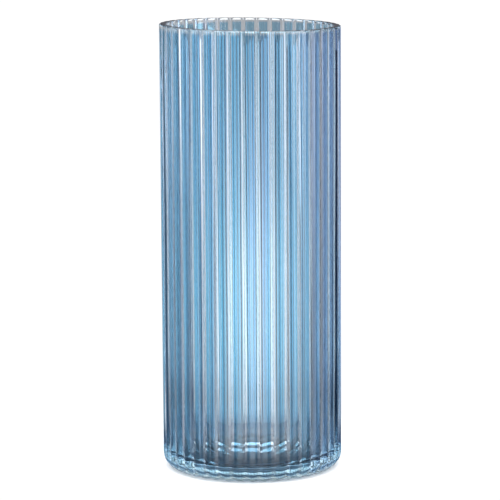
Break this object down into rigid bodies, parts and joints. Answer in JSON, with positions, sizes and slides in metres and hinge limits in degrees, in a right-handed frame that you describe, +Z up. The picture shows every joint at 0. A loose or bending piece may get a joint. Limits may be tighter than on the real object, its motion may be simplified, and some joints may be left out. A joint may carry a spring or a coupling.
{
  "type": "ribbed glass cylinder vase",
  "caption": "Tall straight cylinder vase of blue ribbed glass with a smooth inside, a thick glass floor and a ground lip.",
  "frame": {"origin": "centre of the foot, on the surface that the vase stands on", "axes": "+Z up along the axis of the vase; -Y is the front, where a rib crest faces straight ahead; +X to the right"},
  "size_m": [0.1012, 0.1012, 0.25],
  "materials": {
    "base_glass": "clear polished glass",
    "wall_glass": "clear polished glass",
    "blue_film": "glossy transparent blue film"
  },
  "bodies": {
    "root": {"glass_base": "base_glass", "ribbed_wall": "wall_glass", "colour_film": "blue_film"}
  },
  "joints": []
}
